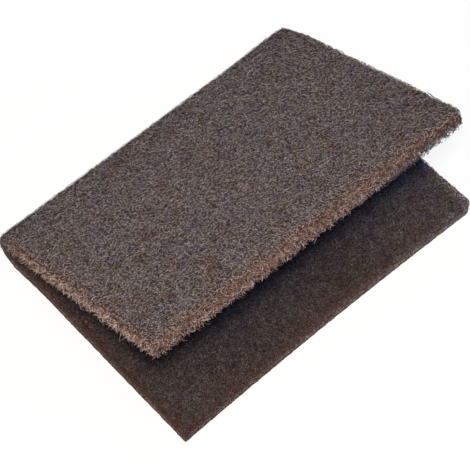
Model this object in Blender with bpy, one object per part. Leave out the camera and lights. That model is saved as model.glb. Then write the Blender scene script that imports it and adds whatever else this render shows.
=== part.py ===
"""A non-woven abrasive hand pad, die cut from flat sheet and folded once across its length.

Metres, +Z up. The lower flap lies flat on z = 0. The fold runs along X at the back (+Y), and the
upper flap stands open over the lower one, towards -Y. The origin is the middle of the footprint.
"""
from math import ceil, cos, pi, radians, sin

import bmesh
import bpy
from mathutils import Vector

# The pad as it is die cut, laid out flat
PAD_WIDTH = 0.158  # along the fold
PAD_LENGTH = 0.224  # from free edge to free edge, across the fold
PAD_THICKNESS = 0.008
CORNER_RADIUS = 0.0015
RIM_ROUNDING = 0.0008  # the cut rim is soft, not sharp

# The fold
FOLD_PLACE = 0.1143  # from the lower flap's free edge to the middle of the bend, along the flat pad
BEND_INNER_RADIUS = 0.0004
OPENING_LEFT = radians(24.6)  # between the flaps, at the left-hand end
OPENING_RIGHT = radians(22.8)  # less, because the upper flap is slightly twisted

# How far the springy web departs from a flat sheet with straight edges
LOWER_EDGE_HOLLOW = 0.0012  # the lower free edge is drawn in at its middle
UPPER_CORNER_FLARE = 0.0025  # the upper flap's right-hand rim leans out towards its free corner

# Facets
BEND_FACETS = 16
CORNER_FACETS = 4
RIM_FACETS = 2
FLAP_FACET = 0.010  # longest side of a facet on the flat stretches

# Finish
FACE_COLOUR = "5B5150"  # resin-bonded grey-brown fibre with its abrasive coat
RIM_COLOUR = "6F5952"  # bare fibre ends where the sheet was cut
ROUGHNESS = 0.95

MIDDLE_RADIUS = BEND_INNER_RADIUS + PAD_THICKNESS / 2  # of the layer that keeps its length in the bend


def linear_colour(hex_colour):
    """The linear RGBA of an sRGB hex colour."""
    shares = [int(hex_colour[i : i + 2], 16) / 255 for i in (0, 2, 4)]
    linear = [c / 12.92 if c <= 0.04045 else ((c + 0.055) / 1.055) ** 2.4 for c in shares]
    return (*linear, 1.0)


def fibre_material(name, hex_colour):
    """Matt, rough fibre of one colour."""
    material = bpy.data.materials.new(name)
    material.use_nodes = True
    shader = material.node_tree.nodes["Principled BSDF"]
    shader.inputs["Base Color"].default_value = linear_colour(hex_colour)
    shader.inputs["Roughness"].default_value = ROUGHNESS
    shader.inputs["Metallic"].default_value = 0.0
    return material


def even_steps(start, end, longest):
    """Places that divide a stretch into equal steps no longer than the given one, without its ends."""
    count = max(1, ceil((end - start) / longest))
    return [start + (end - start) * i / count for i in range(1, count)]


def opening_at(across):
    """The angle between the flaps at a place along the fold."""
    share = across / PAD_WIDTH + 0.5
    return OPENING_LEFT + (OPENING_RIGHT - OPENING_LEFT) * share


def bend_limits(opening):
    """Where the bend starts and ends along the flat pad, for one opening angle."""
    half_length = MIDDLE_RADIUS * (pi - opening) / 2
    return FOLD_PLACE - half_length, FOLD_PLACE + half_length


def die_cut_pad():
    """The flat pad: x across, y from the lower free edge to the upper one, z through its thickness."""
    pad = bmesh.new()
    half = PAD_WIDTH / 2
    outline = [(-half, 0), (half, 0), (half, PAD_LENGTH), (-half, PAD_LENGTH)]
    corners = [pad.verts.new((x, y, 0)) for x, y in outline]
    pad.faces.new(corners)
    bmesh.ops.bevel(
        pad,
        geom=corners,
        affect="VERTICES",
        offset=CORNER_RADIUS,
        segments=CORNER_FACETS,
        profile=0.5,
        material=-1,
    )
    raised = bmesh.ops.extrude_face_region(pad, geom=pad.faces[:], use_keep_orig=True)
    top = [item for item in raised["geom"] if isinstance(item, bmesh.types.BMVert)]
    bmesh.ops.translate(pad, verts=top, vec=(0, 0, PAD_THICKNESS))
    bmesh.ops.recalc_face_normals(pad, faces=pad.faces[:])
    return pad


def soften_rim(pad):
    """Gives the cut rim the second material and rounds its two long edges."""
    for face in pad.faces:
        face.material_index = 0 if abs(face.normal.z) > 0.5 else 1
    rim_edges = [
        edge
        for edge in pad.edges
        if {face.material_index for face in edge.link_faces} == {0, 1}
    ]
    bmesh.ops.bevel(
        pad,
        geom=rim_edges,
        affect="EDGES",
        offset=RIM_ROUNDING,
        segments=RIM_FACETS,
        profile=0.5,
        material=1,
        clamp_overlap=True,
    )


def cut_across(pad, place, direction):
    """Adds a line of edges where a plane passes through the pad."""
    everything = pad.verts[:] + pad.edges[:] + pad.faces[:]
    bmesh.ops.bisect_plane(pad, geom=everything, dist=1e-6, plane_co=place, plane_no=direction)


def divide(pad):
    """Divides the flat pad into facets: short ones round the bend, longer ones on the flaps."""
    bend_start, bend_end = bend_limits(opening_at(0))
    bend_step = (bend_end - bend_start) / BEND_FACETS
    rows = even_steps(0, bend_start, FLAP_FACET)
    rows += [bend_start + bend_step * i for i in range(BEND_FACETS + 1)]
    rows += even_steps(bend_end, PAD_LENGTH, FLAP_FACET)
    for y in rows:
        cut_across(pad, (0, y, 0), (0, 1, 0))
    for x in even_steps(-PAD_WIDTH / 2, PAD_WIDTH / 2, FLAP_FACET):
        cut_across(pad, (x, 0, 0), (1, 0, 0))


def folded(flat):
    """The place of a point of the flat pad once the pad is folded, with the bend's start at y = 0."""
    opening = opening_at(flat.x)
    bend_start, bend_end = bend_limits(opening)
    radius = BEND_INNER_RADIUS + PAD_THICKNESS - flat.z
    centre_height = BEND_INNER_RADIUS + PAD_THICKNESS
    if flat.y <= bend_start:
        free_share = 1 - flat.y / bend_start
        middle_share = 1 - (2 * flat.x / PAD_WIDTH) ** 2
        hollow = LOWER_EDGE_HOLLOW * middle_share * free_share
        return Vector((flat.x, flat.y - bend_start + hollow, flat.z))
    if flat.y < bend_end:
        turned = (flat.y - bend_start) / MIDDLE_RADIUS
        return Vector((flat.x, radius * sin(turned), centre_height - radius * cos(turned)))
    reach = flat.y - bend_end
    free_share = reach / (PAD_LENGTH - bend_end)
    right_share = flat.x / PAD_WIDTH + 0.5
    x = flat.x + UPPER_CORNER_FLARE * right_share * free_share
    y = radius * sin(opening) - reach * cos(opening)
    z = centre_height + radius * cos(opening) + reach * sin(opening)
    return Vector((x, y, z))


def middle_of(values):
    """The middle of a range of values."""
    return (min(values) + max(values)) / 2


def fold(pad):
    """Folds the flat pad, and puts the middle of its footprint at the origin."""
    for vert in pad.verts:
        vert.co = folded(vert.co)
    middle_x = middle_of([vert.co.x for vert in pad.verts])
    middle_y = middle_of([vert.co.y for vert in pad.verts])
    bmesh.ops.translate(pad, verts=pad.verts[:], vec=(-middle_x, -middle_y, 0))


def build_pad():
    """The finished pad as one object."""
    pad = die_cut_pad()
    soften_rim(pad)
    divide(pad)
    fold(pad)
    bmesh.ops.triangulate(pad, faces=pad.faces[:])
    mesh = bpy.data.meshes.new("abrasive_pad")
    pad.to_mesh(mesh)
    pad.free()
    mesh.materials.append(fibre_material("abrasive_coated_fibre", FACE_COLOUR))
    mesh.materials.append(fibre_material("cut_fibre_ends", RIM_COLOUR))
    mesh.shade_smooth()
    mesh.set_sharp_from_angle(angle=radians(50))
    bpy.context.scene.collection.objects.link(bpy.data.objects.new("abrasive_pad", mesh))


for leftover in list(bpy.data.objects):
    bpy.data.objects.remove(leftover)
build_pad()
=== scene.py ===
"""The looks of a folded non-woven abrasive pad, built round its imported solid.

The pad is made flat and square, as it is die cut: a springy web, and the loose fibres of its faces and
cut rims. All of it then has its rims and corners rounded and goes through one fold, the same that the
solid has. Metres throughout, +Z up.
"""
from math import cos, pi, radians, sin, tau

import bmesh
import bpy
import numpy as np
from mathutils import Matrix, Vector, noise


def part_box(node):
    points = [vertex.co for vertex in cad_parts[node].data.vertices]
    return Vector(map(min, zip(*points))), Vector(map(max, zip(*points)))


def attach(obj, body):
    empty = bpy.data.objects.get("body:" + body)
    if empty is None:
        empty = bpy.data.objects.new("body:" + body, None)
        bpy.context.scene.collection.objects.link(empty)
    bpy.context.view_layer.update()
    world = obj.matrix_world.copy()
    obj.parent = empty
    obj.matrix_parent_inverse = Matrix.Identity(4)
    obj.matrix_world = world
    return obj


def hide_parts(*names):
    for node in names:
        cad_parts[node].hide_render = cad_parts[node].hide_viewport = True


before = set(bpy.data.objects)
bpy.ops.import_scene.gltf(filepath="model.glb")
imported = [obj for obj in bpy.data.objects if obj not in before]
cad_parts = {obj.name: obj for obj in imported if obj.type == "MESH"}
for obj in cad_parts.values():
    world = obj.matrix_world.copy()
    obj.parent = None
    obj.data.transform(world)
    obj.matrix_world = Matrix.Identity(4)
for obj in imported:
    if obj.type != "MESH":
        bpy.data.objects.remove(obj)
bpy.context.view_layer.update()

MM = 0.001

# The pad as it is die cut, laid out flat: across the pad, along it, and height through it.
# Height 0 is the outside of the fold, and the pad's thickness is the inside.
PAD_WIDTH = 158 * MM
PAD_LENGTH = 224 * MM
PAD_THICKNESS = 8 * MM
LOWER_CORNER_RADII = (0.5 * MM, 2.0 * MM)  # left and right
UPPER_CORNER_RADII = (1.5 * MM, 3.2 * MM)
RIM_ROUNDING = 0.8 * MM
PRESSED_RIM_ROUNDING = 0.3 * MM  # under the lower flap, where the pad's weight rests
BEND_RIM_ROUNDINGS = (3.2 * MM, 2.3 * MM)  # at the fold's left and right end, where the web stretches

# The fold
FOLD_PLACE = 114.3 * MM  # from the lower flap's free edge to the middle of the bend
BEND_INNER_RADIUS = 0.4 * MM
OPENING_LEFT = radians(24.6)
OPENING_RIGHT = radians(22.8)
LOWER_EDGE_HOLLOW = 1.2 * MM
UPPER_CORNER_FLARE = 2.5 * MM
MIDDLE_RADIUS = BEND_INNER_RADIUS + PAD_THICKNESS / 2
OUTER_RADIUS = BEND_INNER_RADIUS + PAD_THICKNESS
HALF_BEND = MIDDLE_RADIUS * (pi - (OPENING_LEFT + OPENING_RIGHT) / 2) / 2

# Small forms of the soft rims and bend that the solid lacks
UPPER_RIM_SPREAD = 0.3 * MM  # of the upper flap's right-hand rim, besides its flare
LOWER_RIM_SPREAD = 0.7 * MM  # of the lower flap's left-hand rim, beside the bend
SPREAD_SHARE = 0.06  # of the pad's width, over which the lower rim's spread fades out
BEND_SWELL = 0.9 * MM  # how much thicker the bend is near its right-hand end

# Stretches along the flat pad
LOWER_FLAP = (0, FOLD_PLACE)
UPPER_FLAP = (FOLD_PLACE, PAD_LENGTH)
UNDERSIDE = (0, FOLD_PLACE - HALF_BEND)
OUTER_FACE = (FOLD_PLACE - HALF_BEND, PAD_LENGTH)  # round the bend and on over the upper flap

# The web under the loose fibres. It keeps back from the cut rims, where the fibres stand free.
WEB_CELL = 1.4 * MM
WEB_DEPTH = 0.35 * MM  # how far it lies inside the solid's skin
WEB_RELIEF = 0.30 * MM  # how high its lumps are
WEB_LUMP = 2.6 * MM  # how wide they are
RECESS_REACH = 9 * MM  # how far in from a rim it starts to keep back
FRAYED_DEPTH = 3.5 * MM  # how far through the pad the right-hand rims are frayed
UNFRAYED_DEPTH = 3.0 * MM  # how much of the upper flap's end is whole above its frayed part

# The loose fibres, each a thin closed tube. Real ones are finer: these are as coarse as they need to
# be to show.
FIBRE_SIDES = 3
FIBRE_TAPER = np.array([0.6, 1.0, 0.5])  # how thick a fibre is at its start, middle and end
FIBRE_POINTS = len(FIBRE_TAPER)
FIBRE_CRIMP = 1.8  # how far a fibre typically turns along its length, in radians
FIBRE_ARCH = 0.35  # the most that a matted fibre's middle stands up, in millimetres
FIBRE_JITTER = 0.08  # how uneven its height is, in millimetres
BRISTLE_ROOT = 0.5 * MM  # how deep in the rim a bristle starts
BRISTLE_MARGIN = 0.3 * MM  # how far from the faces it starts

# The finish
GRIT_SIZE = 0.36 * MM  # real grit is under 0.1 mm: this is as coarse as it needs to be to show
BARE_CLEANNESS = 0.6  # how much of the grit is missing on bare, cut fibre
DULL_SPECULAR = 0.12  # rough fibre has next to no gloss

# The sockets of a Mix node by number, because their names repeat: for colours and for plain values
SHARE, FIRST, SECOND, MIXED = 0, 6, 7, 2
FIRST_VALUE, SECOND_VALUE, MIXED_VALUE = 2, 3, 0

# The camera, fitted to the photograph's edges
FRAME_PIXELS = 470
FOCAL_PIXELS = 2006.8
CAMERA_DISTANCE = 0.8358


def linear(hex_colour):
    """The linear RGBA of an sRGB hex colour."""
    shares = [int(hex_colour[i : i + 2], 16) / 255 for i in (0, 2, 4)]
    return (*(c / 12.92 if c <= 0.04045 else ((c + 0.055) / 1.055) ** 2.4 for c in shares), 1.0)


def past_outline(across, along):
    """How far places lie past the pad's sides and past its ends: less than 0 inside its outline."""
    return np.abs(across) - PAD_WIDTH / 2, np.abs(along - PAD_LENGTH / 2) - PAD_LENGTH / 2


def inset(across, along):
    """How far places lie in from the pad's outline, and 0 outside it."""
    return np.clip(-np.maximum(*past_outline(across, along)), 0, None)


def share_to_right(across):
    """How far to the right places lie: 0 at the pad's left-hand rim, and 1 at its right-hand rim."""
    return np.clip(across / PAD_WIDTH + 0.5, 0, 1)


def drawn_in(past_first, past_second):
    """The share by which a point past two rims is drawn in, to turn their square corner into an arc."""
    farthest = np.maximum(np.hypot(past_first, past_second), 1e-9)
    drawn = 1 - np.maximum(past_first, past_second) / farthest
    return np.where((past_first > 0) & (past_second > 0), drawn, 0)


def rims_rounded(flat):
    """Points of the square pad, with the long edges of its cut rim rounded and its corners as arcs."""
    across, along, height = flat.T
    from_middle = along - PAD_LENGTH / 2
    left = across < 0
    outer = height < PAD_THICKNESS / 2
    # The outer edge is hardly rounded under the lower flap, and most just past the bend's middle.
    stations = FOLD_PLACE + HALF_BEND * np.array([-0.3, 0.8, 1.8])
    at_left, at_right = (
        np.interp(along, stations, [PRESSED_RIM_ROUNDING, most, RIM_ROUNDING])
        for most in BEND_RIM_ROUNDINGS
    )
    rounding = np.where(outer, np.where(left, at_left, at_right), RIM_ROUNDING)
    past_x = np.clip(np.abs(across) - (PAD_WIDTH / 2 - rounding), 0, None)
    past_y = np.clip(np.abs(from_middle) - (PAD_LENGTH / 2 - rounding), 0, None)
    past_face = np.clip(rounding - np.where(outer, height, PAD_THICKNESS - height), 0, None)
    drawn_x = drawn_in(past_x, past_face)
    drawn_y = drawn_in(past_y, past_face)
    x = np.abs(across) - past_x * drawn_x
    y = np.abs(from_middle) - past_y * drawn_y
    lifted = past_face * np.maximum(drawn_x, drawn_y)
    z = height + np.where(outer, lifted, -lifted)
    lower_corner = np.where(left, *LOWER_CORNER_RADII)
    upper_corner = np.where(left, *UPPER_CORNER_RADII)
    corner = np.where(from_middle < 0, lower_corner, upper_corner)
    past_x = np.clip(x - (PAD_WIDTH / 2 - corner), 0, None)
    past_y = np.clip(y - (PAD_LENGTH / 2 - corner), 0, None)
    drawn = drawn_in(past_x, past_y)
    x = np.sign(across) * (x - past_x * drawn)
    y = np.sign(from_middle) * (y - past_y * drawn)
    return np.stack([x, y + PAD_LENGTH / 2, z], axis=1)


def folded(flat):
    """Where points of the flat pad lie once it is folded. What would pass under it is pressed flat."""
    across, along, height = flat.T
    right_share = across / PAD_WIDTH + 0.5
    opening = OPENING_LEFT + (OPENING_RIGHT - OPENING_LEFT) * right_share
    half_bend = MIDDLE_RADIUS * (pi - opening) / 2
    start = FOLD_PLACE - half_bend
    end = FOLD_PLACE + half_bend
    turned = np.clip((along - start) / MIDDLE_RADIUS, 0, pi - opening)
    reach = np.clip(along - end, 0, None)
    middle_share = np.clip(1 - (2 * across / PAD_WIDTH) ** 2, 0, 1)
    hollow = LOWER_EDGE_HOLLOW * middle_share * np.clip(1 - along / start, 0, None)
    from_right = PAD_WIDTH / 2 - across
    swell = BEND_SWELL * np.interp(from_right, [0, 5 * MM, 18 * MM, 30 * MM], [0.6, 1, 0.75, 0])
    radius = OUTER_RADIUS - height + swell * np.sin(pi * turned / (pi - opening))
    near_left = np.clip(1 - right_share / SPREAD_SHARE, 0, 1)
    beside_bend = np.interp(start - along, [-5 * MM, 2 * MM, 20 * MM], [0, 1, 0])
    x = across + right_share * UPPER_CORNER_FLARE * reach / (PAD_LENGTH - end)
    x = x + right_share * UPPER_RIM_SPREAD * np.clip(reach / (10 * MM), 0, 1)
    x = x - LOWER_RIM_SPREAD * near_left * beside_bend
    y = np.minimum(along - start, 0) + hollow + radius * np.sin(turned) - reach * np.cos(opening)
    z = OUTER_RADIUS - radius * np.cos(turned) + reach * np.sin(opening)
    low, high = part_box("abrasive_pad")
    x = x + PAD_WIDTH / 2 + low.x
    y = y + high.y - OUTER_RADIUS
    z = np.maximum(z, 0) + low.z
    return np.stack([x, y, z], axis=1)


def bareness(flat):
    """How much of the bare, cut fibre shows: all of it on the rim, fading in from the outline, but
    less round the fold and least on the right-hand rims, which have kept their resin."""
    across, along, height = flat.T
    nearer_end = PAD_LENGTH - along < PAD_WIDTH / 2 - across
    grey = np.where(nearer_end, np.interp(height / PAD_THICKNESS, [0.3, 0.6], [0.1, 1]), 1)
    resin = 1 - 0.92 * share_to_right(across) ** 4 * grey
    past_fold = along - FOLD_PLACE
    round_fold = np.interp(past_fold, [-16 * MM, -5 * MM, 5 * MM, 16 * MM], [0.75, 0.3, 0.3, 1])
    return np.exp(-inset(across, along) / (3 * MM)) * resin * round_fold


def depth_in_mouth(along):
    """How deep in the mouth of the fold places lie: 0 near the lower free edge, and 1 from 30 mm in."""
    return np.interp(along, [8 * MM, 30 * MM], [0, 1])


def painted_blue_shade(flat):
    """How blue-grey the fibres are: painted blue shade, only inside the fold under the upper flap."""
    across, along, height = flat.T
    deep = depth_in_mouth(along) * np.interp(across / PAD_WIDTH, [-0.45, -0.2], [0.1, 1])
    return deep * np.interp(height / PAD_THICKNESS, [0.6, 1], [0, 1])


def tone_and_painted_shade(flat):
    """How light the fibres are, with painted shade and light. The outside is darker by the fold, by the
    right-hand rim and round the upper flap's right-hand corner. The inside is darker in painted shade of
    the fold, most of all deep in its left part under the upper flap's rim, darker along the lower free
    edge, and lighter towards the right in painted light. The rims are lighter, the upper one less so
    near the fold. The lower flap's rim is lightest on the right, darker at the bottom in painted contact
    shade, and darker on its left in painted shade of the upper flap. The nose, at the fold's left end,
    is dark."""
    across, along, height = flat.T
    sideways = across / PAD_WIDTH
    level = height / PAD_THICKNESS
    past_fold = along - FOLD_PLACE
    from_corner = np.hypot(PAD_WIDTH / 2 - across, PAD_LENGTH - along)
    corner = 1 - 0.19 * np.exp(-from_corner / (18 * MM))
    from_nose = np.hypot(PAD_WIDTH / 2 + across, past_fold)
    nose = 1 - 0.5 * np.exp(-from_nose / (7 * MM))
    outside = np.interp(past_fold, [0, 18 * MM], [0.85, 1])
    outside = outside * (1 - 0.18 * np.exp((across - PAD_WIDTH / 2) / (12 * MM))) * corner
    # The inside is darker in painted shade of the fold, and lighter towards the right in painted light.
    inside = np.interp(sideways, [-0.5, -0.3, 0.1, 0.4], [0.62, 0.56, 0.50, 0.70])
    inside = inside * np.interp(along, [0, 12 * MM], [0.84, 1])
    # Painted shade deep in the mouth's left part, under the upper flap's left rim.
    painted_shade_left = np.interp(sideways, [-0.5, -0.45, -0.32, -0.2], [0, 1, 1, 0])
    inside = inside * (1 - 0.2 * (depth_in_mouth(along) * painted_shade_left))
    face = outside + (inside - outside) * np.interp(level, [0.3, 1], [0, 1])
    upper_rim = np.interp(level, [0, 0.35, 0.6, 0.8, 1], [1.34, 1.4, 1.55, 1.44, 1.06])
    upper_rim = upper_rim * np.interp(past_fold, [0, 25 * MM], [0.6, 1]) * corner
    # Painted contact shade at the lower rim's bottom, and painted shade of the upper flap on its left.
    lower_rim = np.interp(level, [0, 0.1, 0.45, 0.65, 1], [1.2, 1.7, 2.0, 1.3, 0.95])
    lower_rim = lower_rim * (1 - 0.3 * np.clip(0.5 - sideways, 0, 1) ** 2)
    lower_rim = np.where(across > PAD_WIDTH / 2 - 4 * MM, 2.6, lower_rim)
    rim = np.where(along > FOLD_PLACE, upper_rim, lower_rim)
    on_rim = np.exp(-inset(across, along) / (1.5 * MM))
    return nose * (face + on_rim * (rim - face))


def fold_mesh(mesh):
    """Stores each point's bareness, tone with painted shade, and painted blue shade, then folds the
    mesh.
    """
    flat = np.empty(len(mesh.vertices) * 3)
    mesh.vertices.foreach_get("co", flat)
    flat = flat.reshape(-1, 3)
    for name, formula in (("bare", bareness), ("tone_and_painted_shade", tone_and_painted_shade), ("cool", painted_blue_shade)):
        mesh.attributes.new(name, "FLOAT", "POINT").data.foreach_set("value", formula(flat))
    mesh.vertices.foreach_set("co", folded(rims_rounded(flat)).ravel())
    mesh.update()


def add_piece(name, mesh, material):
    """Makes an object of a finished mesh, riding on the pad's one body."""
    mesh.materials.append(material)
    mesh.shade_smooth()
    piece = bpy.data.objects.new(name, mesh)
    bpy.context.scene.collection.objects.link(piece)
    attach(piece, "root")
    return piece


def add_node(tree, kind, sockets=None, **settings):
    """Adds a shader node with its settings, sets or links its sockets, and gives back its outputs."""
    node = tree.nodes.new("ShaderNode" + kind)
    for name, value in settings.items():
        setattr(node, name, value)
    for name, value in (sockets or {}).items():
        if isinstance(value, bpy.types.NodeSocket):
            tree.links.new(value, node.inputs[name])
        else:
            node.inputs[name].default_value = value
    return node.outputs


def dull_material(name, roughness):
    """A node material with next to no gloss, and its tree, shader and object coordinates."""
    material = bpy.data.materials.new(name)
    material.use_nodes = True
    tree = material.node_tree
    shader = tree.nodes["Principled BSDF"]
    shader.inputs["Roughness"].default_value = roughness
    shader.inputs["Specular IOR Level"].default_value = DULL_SPECULAR
    place = add_node(tree, "TexCoord")["Object"]
    return material, tree, shader, place


def mottled(tree, place, colour):
    """Shifts a colour in soft patches, as uneven resin and dye do: browner, more purple, greener."""
    for size, seed, share, tint in (
        (7 * MM, 0.0, 0.65, "E8B89C"),
        (5 * MM, 3.1, 0.80, "C4B8E8"),
        (4 * MM, 7.7, 0.60, "CCCC90"),
    ):
        patch = {"Vector": place, "W": seed, "Scale": 1 / size}
        patch = add_node(tree, "TexNoise", patch, noise_dimensions="4D")["Fac"]
        strength = {"Value": patch, "From Min": 0.50, "From Max": 0.78, "To Max": share}
        strength = add_node(tree, "MapRange", strength)["Result"]
        tinted = {SHARE: strength, FIRST: colour, SECOND: linear(tint)}
        colour = add_node(tree, "Mix", tinted, data_type="RGBA", blend_type="MULTIPLY")[MIXED]
    return colour


def gritty(tree, place, shade):
    """Breaks a shade up into grains of grit, from nearly black to nearly twice as light."""
    grain = add_node(tree, "TexVoronoi", {"Vector": place, "Scale": 1 / GRIT_SIZE})["Color"]
    grain = add_node(tree, "SeparateColor", {"Color": grain})["Red"]
    grain = add_node(tree, "MapRange", {"Value": grain, "To Min": 0.1, "To Max": 1.9})["Result"]
    return add_node(tree, "Math", {0: shade, 1: grain}, operation="MULTIPLY", use_clamp=True)[0]


def fibre_colour(tree, place, shade):
    """Grey-brown resin with grit on the faces, and bare tan nylon where fibres were cut. The resin is
    mottled, and blue-grey inside the fold in painted shade."""
    light = add_node(tree, "Attribute", attribute_name="tone_and_painted_shade", attribute_type="GEOMETRY")["Fac"]
    bare = add_node(tree, "Attribute", attribute_name="bare", attribute_type="GEOMETRY")["Fac"]
    cool = add_node(tree, "Attribute", attribute_name="cool", attribute_type="GEOMETRY")["Fac"]

    # Bare fibre carries less grit.
    clean = add_node(tree, "Math", {0: bare, 1: BARE_CLEANNESS}, operation="MULTIPLY")[0]
    gritted = {SHARE: clean, FIRST_VALUE: gritty(tree, place, shade), SECOND_VALUE: shade}
    shade = add_node(tree, "Mix", gritted, data_type="FLOAT")[MIXED_VALUE]
    # Tone with painted shade and light, from the mesh.
    shade = add_node(tree, "Math", {0: shade, 1: light}, operation="MULTIPLY")[0]

    # Resin and bare fibre meet in a ragged line.
    ragged = {"Vector": place, "W": 17.0, "Scale": 1 / (3 * MM)}
    ragged = add_node(tree, "TexNoise", ragged, noise_dimensions="4D")["Fac"]
    ragged = {"Value": ragged, "From Min": 0.35, "From Max": 0.65, "To Min": 0.5, "To Max": 2.5}
    ragged = add_node(tree, "MapRange", ragged)["Result"]
    bare = add_node(tree, "Math", {0: bare, 1: ragged}, operation="POWER", use_clamp=True)[0]

    coated = {SHARE: shade, FIRST: linear("20100E"), SECOND: linear("EAE0DE")}
    coated = mottled(tree, place, add_node(tree, "Mix", coated, data_type="RGBA")[MIXED])
    # Painted blue shade deep inside the fold.
    coated = {SHARE: cool, FIRST: coated, SECOND: linear("C2DCFF")}
    coated = add_node(tree, "Mix", coated, data_type="RGBA", blend_type="MULTIPLY")[MIXED]

    # From dark brown through red-brown to a pale tan, which only the lightest fibre ends reach.
    cut = {SHARE: shade, FIRST: linear("B06250"), SECOND: linear("FFEBDE")}
    cut = add_node(tree, "Mix", cut, data_type="RGBA")[MIXED]
    cut = {SHARE: shade, FIRST: linear("2C1712"), SECOND: cut}
    cut = add_node(tree, "Mix", cut, data_type="RGBA")[MIXED]
    either = {SHARE: bare, FIRST: coated, SECOND: cut}
    return add_node(tree, "Mix", either, data_type="RGBA")[MIXED]


def web_material():
    """Nylon web bonded with dark resin: crimped strands cross in it, with dark hollows between them.
    Each set of strands runs where a noise passes its middle value, and dives in and out of sight."""
    material, tree, shader, place = dull_material("nylon_web_resin_bonded", 0.9)
    shade = {"Vector": place, "W": 2.2, "Scale": 1 / (0.8 * MM), "Detail": 1.0}
    shade = add_node(tree, "TexNoise", shade, noise_dimensions="4D")["Fac"]
    shade = {"Value": shade, "From Min": 0.3, "From Max": 0.7, "To Min": 0.03, "To Max": 0.15}
    shade = add_node(tree, "MapRange", shade)["Result"]
    for size, seed in ((1.1 * MM, 0.4), (0.9 * MM, 5.3), (0.75 * MM, 9.1), (1.2 * MM, 12.6)):
        level = {"Vector": place, "W": seed, "Scale": 1 / size, "Detail": 0.0}
        level = add_node(tree, "TexNoise", level, noise_dimensions="4D")["Fac"]
        away = add_node(tree, "Math", {0: level, 1: 0.5}, operation="SUBTRACT")[0]
        away = add_node(tree, "Math", {0: away}, operation="ABSOLUTE")[0]
        strand = {"Value": away, "From Min": 0.045, "From Max": 0.0}
        strand = add_node(tree, "MapRange", strand)["Result"]
        seen = {"Vector": place, "W": seed + 20, "Scale": 1 / (1.4 * MM), "Detail": 0.0}
        seen = add_node(tree, "TexNoise", seen, noise_dimensions="4D")["Fac"]
        seen = {"Value": seen, "From Min": 0.40, "From Max": 0.62, "To Min": 0.05, "To Max": 0.35}
        seen = add_node(tree, "MapRange", seen)["Result"]
        strand = add_node(tree, "Math", {0: strand, 1: seen}, operation="MULTIPLY")[0]
        shade = add_node(tree, "Math", {0: shade, 1: strand}, operation="MAXIMUM")[0]
    tree.links.new(fibre_colour(tree, place, shade), shader.inputs["Base Color"])
    bump = add_node(tree, "Bump", {"Height": shade, "Distance": 0.3 * MM, "Strength": 1.0})
    tree.links.new(bump["Normal"], shader.inputs["Normal"])
    return material


def fibre_material():
    """Drawn nylon fibre with a skin of resin and grit. Each one has its own shade, darker in painted
    shade where it dives in."""
    material, tree, shader, place = dull_material("nylon_fibre_resin_skin", 0.7)
    shade = add_node(tree, "Attribute", attribute_name="shade", attribute_type="GEOMETRY")["Fac"]
    tree.links.new(fibre_colour(tree, place, shade), shader.inputs["Base Color"])
    return material


def rim_recess(across, along, height):
    """How far the web keeps back from the side rims and the end rims: less than 0 where it stands out.
    It is frayed to an open net along the right-hand rims, on the face turned up, and under the upper
    flap's right-hand corner."""
    upper = along > FOLD_PLACE
    place = along / PAD_LENGTH
    near_outer = np.clip(1 - height / FRAYED_DEPTH, 0, 1)
    near_inner = np.clip(1 - (PAD_THICKNESS - height) / FRAYED_DEPTH, 0, 1)
    under = np.clip((height - UNFRAYED_DEPTH) / (PAD_THICKNESS - UNFRAYED_DEPTH), 0, 1)
    frayed = np.interp(place, [0.02, 0.12, 0.4, 0.5, 0.6, 0.75, 1], [0, 0.8, 0.8, 0, 0, 1.2, 1.7])
    left_side = np.where(upper, 0.6, -0.3)
    right_side = np.interp(place, [0.1, 0.5, 1], [-0.5, -0.5, -0.35])
    right_side = right_side + frayed * np.where(upper, near_outer, near_inner)
    ends = np.where(upper, 0.5 + 3.0 * share_to_right(across) ** 4 * under, -0.3)
    return np.where(across < 0, left_side, right_side) * MM, ends * MM


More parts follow.
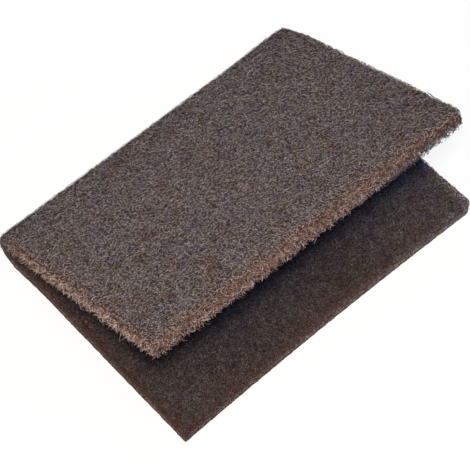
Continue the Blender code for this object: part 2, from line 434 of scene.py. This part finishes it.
def web_body(material):
    """The springy web itself, a little inside the solid's skin, with soft lumps and hollows. Inside the
    bend it is squeezed smooth."""
    web = bmesh.new()
    bmesh.ops.create_grid(
        web,
        x_segments=round(PAD_WIDTH / WEB_CELL),
        y_segments=round(PAD_LENGTH / WEB_CELL),
        size=0.5,
        matrix=Matrix.Diagonal((PAD_WIDTH, PAD_LENGTH, 1, 1)) @ Matrix.Translation((0, 0.5, 0)),
    )
    layers = round(PAD_THICKNESS / WEB_CELL)
    top = web.faces[:]
    for layer in range(layers):
        top = bmesh.ops.extrude_face_region(web, geom=top, use_keep_orig=layer == 0)["geom"]
        verts = [item for item in top if isinstance(item, bmesh.types.BMVert)]
        bmesh.ops.translate(web, verts=verts, vec=(0, 0, PAD_THICKNESS / layers))
    bmesh.ops.recalc_face_normals(web, faces=web.faces[:])
    # By height, then along, then across, so that the mesh is listed the same way each time.
    order = Vector((1, 1e3, 1e6))
    web.verts.sort(key=lambda vert: vert.co.dot(order))
    web.faces.sort(key=lambda face: face.calc_center_median().dot(order))
    web.normal_update()
    flat = np.array([vert.co for vert in web.verts])
    normals = np.array([vert.normal for vert in web.verts])
    lumps = np.array([noise.noise(vert.co / WEB_LUMP) for vert in web.verts])
    mesh = bpy.data.meshes.new("web")
    web.to_mesh(mesh)
    web.free()
    across, along, height = flat.T
    past_bend = np.clip((np.abs(along - FOLD_PLACE) - HALF_BEND) / (6 * MM), 0, 1)
    free = 1 - height / PAD_THICKNESS * (1 - past_bend)
    outward = lumps * WEB_RELIEF * free - WEB_DEPTH * (0.3 + 0.7 * free)
    flat = flat + normals * outward[:, None]
    side_recess, end_recess = rim_recess(across, along, height)
    past_side, past_end = past_outline(across, along)
    near_side = np.clip(1 + past_side / RECESS_REACH, 0, 1)
    near_end = np.clip(1 + past_end / RECESS_REACH, 0, 1)
    flat[:, 0] -= np.sign(across) * side_recess * near_side
    flat[:, 1] -= np.sign(along - PAD_LENGTH / 2) * end_recess * near_end
    mesh.vertices.foreach_set("co", flat.ravel())
    fold_mesh(mesh)
    return add_piece("web", mesh, material)


def tubes(name, paths, radius, shade, material):
    """Thin closed tubes along paths through the flat pad, folded with it."""
    outline = bpy.data.curves.new("fibre_outline", "CURVE")
    outline.dimensions = "2D"
    ring = outline.splines.new("POLY")
    ring.points.add(FIBRE_SIDES - 1)
    for i, point in enumerate(ring.points):
        point.co = (cos(tau * i / FIBRE_SIDES), sin(tau * i / FIBRE_SIDES), 0, 1)
    ring.use_cyclic_u = True
    section = bpy.data.objects.new("fibre_section", outline)
    curve = bpy.data.curves.new(name, "CURVE")
    curve.dimensions = "3D"
    curve.bevel_mode = "OBJECT"
    curve.bevel_object = section
    curve.use_fill_caps = True
    for path, thickness in zip(paths, radius):
        spline = curve.splines.new("POLY")
        spline.points.add(FIBRE_POINTS - 1)
        spline.points.foreach_set("co", np.column_stack([path, np.ones(FIBRE_POINTS)]).ravel())
        spline.points.foreach_set("radius", thickness * FIBRE_TAPER)
    holder = bpy.data.objects.new(name + "_curve", curve)
    bpy.context.scene.collection.objects.link(holder)
    evaluated = holder.evaluated_get(bpy.context.evaluated_depsgraph_get())
    mesh = bpy.data.meshes.new_from_object(evaluated)
    for leftover in (holder, section):
        bpy.data.objects.remove(leftover)
    # The mesh lists the end caps first, from the last path back, and then each path's rings in turn.
    caps = shade[:, [0, -1]].ravel()[::-1]
    shades = np.repeat(np.concatenate([caps, shade.ravel()]), FIBRE_SIDES)
    mesh.attributes.new("shade", "FLOAT", "POINT").data.foreach_set("value", shades)
    closed = bmesh.new()
    closed.from_mesh(mesh)
    bmesh.ops.remove_doubles(closed, verts=closed.verts[:], dist=0.001 * MM)
    bmesh.ops.recalc_face_normals(closed, faces=closed.faces[:])
    closed.to_mesh(mesh)
    closed.free()
    fold_mesh(mesh)
    return add_piece(name, mesh, material)


def wander(rng, length):
    """Crimped tracks in a plane, one for each length, about the origin with its own heading and bend."""
    count = len(length)
    steps = FIBRE_POINTS - 1
    heading = rng.uniform(0, tau, (count, 1))
    bend = rng.normal(0, FIBRE_CRIMP, (count, 1)) * (np.linspace(0, 1, steps) - 0.5)
    angle = heading + bend + rng.normal(0, FIBRE_CRIMP / 3, (count, steps))
    step = length[:, None] / steps
    track = np.zeros((count, FIBRE_POINTS, 2))
    track[:, 1:, 0] = np.cumsum(step * np.cos(angle), axis=1)
    track[:, 1:, 1] = np.cumsum(step * np.sin(angle), axis=1)
    return track - track.mean(axis=1, keepdims=True)


def on_skin(across, along, above, inside):
    """Flat-pad points on its skin. Past the outline the skin runs on, down over the cut rim."""
    past_side, past_end = past_outline(across, along)
    down = np.clip(np.maximum(past_side, past_end), 0, PAD_THICKNESS)
    over = np.clip(down / RIM_ROUNDING, 0, 1)
    out = above * over
    x = np.clip(across, -PAD_WIDTH / 2, PAD_WIDTH / 2)
    x = x + np.sign(across) * out * (past_side > past_end)
    y = np.clip(along, 0, PAD_LENGTH)
    y = y + np.sign(along - PAD_LENGTH / 2) * out * (past_end >= past_side)
    depth = down - above * (1 - over)
    return np.stack([x, y, PAD_THICKNESS - depth if inside else depth], axis=-1)


def matted_fibres(name, material, seed, middles, lift, length, width, shades, inside=False):
    """Crimped fibres matted into the pad's skin, each about one middle place. Their lift above the
    skin, length and width are ranges in millimetres. The top ones are lightest, and the deeper ones
    darker in painted shade."""
    rng = np.random.default_rng(seed)
    count = len(middles)
    length = rng.uniform(*length, count) * MM
    track = wander(rng, length) + middles[:, None, :]
    share = np.linspace(0, 1, FIBRE_POINTS)
    lowest, highest = lift
    rank = rng.uniform(0, 1, (count, 1))
    past_side, past_end = past_outline(*middles.T)
    down = np.clip(np.maximum(past_side, past_end), 0, PAD_THICKNESS)
    side_recess, end_recess = rim_recess(*middles.T, down)
    deeper = np.where(past_side > 0, side_recess, 0) + np.where(past_end > 0, end_recess, 0)
    arch = rng.uniform(0.0, FIBRE_ARCH, (count, 1)) * MM * np.sin(pi * share)
    jitter = rng.normal(0, FIBRE_JITTER, (count, FIBRE_POINTS)) * MM
    above = (lowest + (highest - lowest) * rank) * MM + arch + jitter
    above = above - deeper[:, None] * (1 - rank)
    radius = rng.uniform(*width, count) / 2 * MM
    low, high = shades
    middle_shade = (low + high) / 2
    # Fibres that lie deeper are darker: painted shade from the ones above.
    shade = low + (high - low) * (0.7 * rank + 0.3 * rng.uniform(0, 1, (count, 1)))
    # The upper flap's free end was cut cleaner, so its shades are more even.
    evenness = np.where((past_end > 0) & (middles[:, 1] > 0), 0.5, 1)[:, None]
    shade = middle_shade + evenness * (shade - middle_shade)
    # The frayed right-hand rims are darker, down from the face. Each fibre is darker towards its
    #     ends, in painted shade where it dives into the mat.
    frayed = 1 - 0.4 * share_to_right(middles[:, 0]) ** 4 * np.clip(down / (3 * MM), 0, 1)
    shade = shade * frayed[:, None] * (0.6 + 0.4 * np.sin(pi * share))
    paths = on_skin(track[..., 0], track[..., 1], above, inside)
    return tubes(name, paths, radius, shade, material)


def face_middles(seed, spacing, along):
    """Places on a stretch of the pad's face, one in each cell of a grid, so that none is left bald."""
    rng = np.random.default_rng(seed)
    low, high = along
    columns = np.arange(-PAD_WIDTH / 2, PAD_WIDTH / 2, spacing)
    rows = np.arange(low, high, spacing)
    x, y = np.meshgrid(columns, rows)
    cells = np.column_stack([x.ravel(), y.ravel()])
    return cells + rng.uniform(0, spacing, cells.shape)


def rim_places(rng, count, along):
    """Random places on the cut rim between two places along the pad: position and outward direction."""
    low, high = along
    side = high - low
    walk = rng.uniform(0, 2 * side + PAD_WIDTH, count)
    left = walk < side
    right = walk >= side + PAD_WIDTH
    end, end_direction = (high, 1.0) if high >= PAD_LENGTH else (low, -1.0)
    x = np.where(right, PAD_WIDTH / 2, walk - side - PAD_WIDTH / 2)
    x = np.where(left, -PAD_WIDTH / 2, x)
    y = np.where(right, low + walk - side - PAD_WIDTH, end)
    y = np.where(left, low + walk, y)
    out_x = np.where(left, -1.0, np.where(right, 1.0, 0.0))
    out_y = np.where(left | right, 0.0, end_direction)
    return np.column_stack([x, y]), np.column_stack([out_x, out_y])


def rim_middles(seed, count, along):
    """Even random places on the cut rim, as places past the outline of the face."""
    rng = np.random.default_rng(seed)
    place, outward = rim_places(rng, count, along)
    return place + outward * rng.uniform(0, PAD_THICKNESS, (count, 1))


def corner_net_middles():
    """Places on the upper flap's frayed right-hand rim, and low on its end next to that corner."""
    middles = rim_middles(39, 11500, (FOLD_PLACE + 12 * MM, PAD_LENGTH))
    across, along = middles.T
    low_on_end = (across > PAD_WIDTH / 4) & (along > PAD_LENGTH + 3 * MM)
    return middles[(across > PAD_WIDTH / 2) | low_on_end]


def lower_net_middles():
    """Places on the lower flap's frayed right-hand rim."""
    middles = rim_middles(40, 3000, LOWER_FLAP)
    across, along = middles.T
    return middles[(across >= PAD_WIDTH / 2) & (along > 5 * MM)]


def rim_bristles(name, material, seed, count, along, reach, width, shades):
    """Cut fibre ends that bristle out of the pad's rim, lightest at their tips and darker towards the
    root in painted shade. Their reach and width are ranges in millimetres, and the right-hand ones are
    shorter."""
    rng = np.random.default_rng(seed)
    place, outward = rim_places(rng, count, along)
    sideways = np.column_stack([-outward[:, 1], outward[:, 0]])
    height = rng.uniform(BRISTLE_MARGIN, PAD_THICKNESS - BRISTLE_MARGIN, count)
    shortening = 1 - 0.7 * share_to_right(place[:, :1]) ** 3
    length = rng.uniform(*reach, (count, 1)) * shortening * MM
    share = np.linspace(0, 1, FIBRE_POINTS)
    lean, droop = (
        (rng.normal(0, 0.8, (count, 1)) * share + rng.normal(0, curl, (count, 1)) * share**2) * length
        for curl in (0.6, 0.5)
    )
    out = -BRISTLE_ROOT + share * (length + BRISTLE_ROOT)
    track = place[:, None, :] + outward[:, None, :] * out[..., None]
    track = track + sideways[:, None, :] * lean[..., None]
    level = height[:, None] + droop
    radius = rng.uniform(*width, count) / 2 * MM
    low, high = shades
    # The upper flap's free end was cut cleaner, so its fibre ends are more even.
    spread = np.where(outward[:, 1:] > 0, 0.5, 1.1)
    shade = low + (high - low) * (0.3 + spread * (rng.uniform(0, 1, (count, 1)) ** 1.7 - 0.3))
    # Darker towards the root: painted shade inside the rim.
    shade = np.clip(shade, 0, None) * (0.3 + 0.7 * share)
    return tubes(name, np.dstack([track, level]), radius, shade, material)


def pale_floor():
    """A pale card under the pad. To the camera and in reflections it is a darker card with a glow of its
    own, which together come out white and still show the pad's shadow."""
    floor = bmesh.new()
    bmesh.ops.create_grid(floor, x_segments=1, y_segments=1, size=6.0)
    mesh = bpy.data.meshes.new("floor")
    floor.to_mesh(mesh)
    floor.free()
    material = bpy.data.materials.new("pale_card")
    material.use_nodes = True
    tree = material.node_tree
    rays = add_node(tree, "LightPath")
    seen = {0: rays["Is Camera Ray"], 1: rays["Is Glossy Ray"]}
    seen = add_node(tree, "Math", seen, operation="MAXIMUM")[0]
    seen = {0: seen, 1: rays["Is Transmission Ray"]}
    seen = add_node(tree, "Math", seen, operation="MAXIMUM")[0]
    shader = tree.nodes["Principled BSDF"]
    card = {SHARE: seen, FIRST: linear("C8C8C8"), SECOND: linear("707070")}
    card = add_node(tree, "Mix", card, data_type="RGBA")[MIXED]
    tree.links.new(card, shader.inputs["Base Color"])
    shader.inputs["Roughness"].default_value = 1.0
    shader.inputs["Specular IOR Level"].default_value = 0.0
    white = add_node(tree, "Emission", {"Color": linear("FFFFFF"), "Strength": 0.86})[0]
    glow = add_node(tree, "MixShader", {0: seen, 2: white})[0]
    both = add_node(tree, "AddShader", {0: shader.outputs[0], 1: glow})[0]
    tree.links.new(both, tree.nodes["Material Output"].inputs["Surface"])
    mesh.materials.append(material)
    ground = bpy.data.objects.new("floor", mesh)
    bpy.context.scene.collection.objects.link(ground)


def add_lamp(name, place, size, power, colour="FFEFDC"):
    """A round soft lamp that faces the pad."""
    lamp = bpy.data.lights.new(name, "AREA")
    lamp.shape = "DISK"
    lamp.size = size
    lamp.energy = power
    lamp.color = linear(colour)[:3]
    holder = bpy.data.objects.new(name, lamp)
    holder.location = place
    holder.rotation_euler = (-Vector(place)).to_track_quat("-Z", "Y").to_euler()
    bpy.context.scene.collection.objects.link(holder)


def soft_light():
    """A pale blue sky, soft lamps overhead and above the camera, a weaker one to the left, and a faint
    cool one low on the right."""
    world = bpy.data.worlds.new("even_sky")
    world.use_nodes = True
    sky = world.node_tree.nodes["Background"]
    sky.inputs["Color"].default_value = linear("B3D3FF")
    sky.inputs["Strength"].default_value = 0.24
    bpy.context.scene.world = world
    add_lamp("soft_overhead", (0.05, 0.0, 0.98), size=0.45, power=1.5)
    add_lamp("soft_front", (-0.28, -0.30, 0.90), size=0.17, power=7.1)
    add_lamp("soft_left", (-0.80, 0.05, 0.58), size=0.4, power=0.35)
    add_lamp("cool_right", (0.92, -0.10, 0.22), size=0.4, power=2.0, colour="86B4FF")


def photo_camera():
    """A long lens above the pad's mouth and left end, looking down at it."""
    azimuth = radians(-41.77)
    elevation = radians(59.77)
    roll = radians(-0.07)
    low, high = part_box("abrasive_pad")
    target = Vector((low.x + 77.38 * MM, high.y - OUTER_RADIUS - 50.99 * MM, 0))
    back = Vector((sin(azimuth) * cos(elevation), -cos(azimuth) * cos(elevation), sin(elevation)))
    right = Vector((cos(azimuth), sin(azimuth), 0))
    up = back.cross(right)
    turned_right = right * cos(roll) + up * sin(roll)
    turned_up = up * cos(roll) - right * sin(roll)
    lens = bpy.data.cameras.new("camera")
    lens.sensor_width = 36
    lens.lens = lens.sensor_width * FOCAL_PIXELS / FRAME_PIXELS
    camera = bpy.data.objects.new("camera", lens)
    turn = Matrix((turned_right, turned_up, back)).transposed().to_4x4()
    camera.matrix_world = Matrix.Translation(target + back * CAMERA_DISTANCE) @ turn
    bpy.context.scene.collection.objects.link(camera)
    bpy.context.scene.camera = camera


bpy.context.scene.view_settings.view_transform = "Standard"
photo_camera()
pale_floor()
soft_light()

web = web_body(web_material())
nylon = fibre_material()
fibres = [
    matted_fibres(
        "outer_face_strands", nylon, 21, face_middles(31, 1.45 * MM, OUTER_FACE),
        lift=(-0.1, 0.1), length=(0.7, 1.9), width=(0.14, 0.20), shades=(0.33, 0.77),
    ),
    matted_fibres(
        "outer_face_curls", nylon, 22, face_middles(32, 1.3 * MM, OUTER_FACE),
        lift=(-0.05, 0.22), length=(1.2, 3.2), width=(0.11, 0.15), shades=(1.0, 2.75),
    ),
    matted_fibres(
        "outer_face_filling", nylon, 23, face_middles(33, 1.45 * MM, OUTER_FACE),
        lift=(-0.35, -0.1), length=(1.2, 3.0), width=(0.18, 0.26), shades=(0.0, 0.12),
    ),
    matted_fibres(
        "underside_strands", nylon, 27, face_middles(37, 2.2 * MM, UNDERSIDE),
        lift=(-0.35, -0.05), length=(1.4, 3.0), width=(0.24, 0.36), shades=(0.1, 1.0),
    ),
    matted_fibres(
        "lower_inner_strands", nylon, 26, face_middles(36, 1.75 * MM, LOWER_FLAP), inside=True,
        lift=(-0.25, -0.05), length=(1.2, 3.0), width=(0.18, 0.28), shades=(0.18, 0.28),
    ),
    matted_fibres(
        "upper_inner_strands", nylon, 28, face_middles(38, 2.2 * MM, UPPER_FLAP), inside=True,
        lift=(-0.25, -0.05), length=(1.2, 3.0), width=(0.18, 0.28), shades=(0.2, 0.9),
    ),
    matted_fibres(
        "upper_rim_fibres", nylon, 24, rim_middles(34, 6000, UPPER_FLAP),
        lift=(-0.8, 0.2), length=(1.2, 2.8), width=(0.22, 0.34), shades=(0.14, 0.54),
    ),
    matted_fibres(
        "corner_net", nylon, 29, corner_net_middles(),
        lift=(-0.6, 1.1), length=(1.0, 2.4), width=(0.24, 0.34), shades=(0.0, 0.4),
    ),
    matted_fibres(
        "lower_net", nylon, 30, lower_net_middles(),
        lift=(-0.5, 0.4), length=(1.5, 3.0), width=(0.30, 0.42), shades=(0.1, 0.5),
    ),
    matted_fibres(
        "lower_rim_fibres", nylon, 25, rim_middles(35, 4500, LOWER_FLAP),
        lift=(-0.4, -0.15), length=(1.2, 2.5), width=(0.24, 0.34), shades=(0.24, 0.42),
    ),
    rim_bristles(
        "upper_rim_bristles", nylon, 15, 5200, UPPER_FLAP,
        reach=(0.3, 1.9), width=(0.17, 0.27), shades=(0.25, 1.2),
    ),
    rim_bristles(
        "stray_fibres", nylon, 17, 45, UPPER_FLAP,
        reach=(2.2, 4.2), width=(0.13, 0.17), shades=(0.7, 1.4),
    ),
    rim_bristles(
        "lower_rim_bristles", nylon, 16, 2000, LOWER_FLAP,
        reach=(0.0, 0.1), width=(0.20, 0.30), shades=(0.2, 0.45),
    ),
]
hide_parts("abrasive_pad")
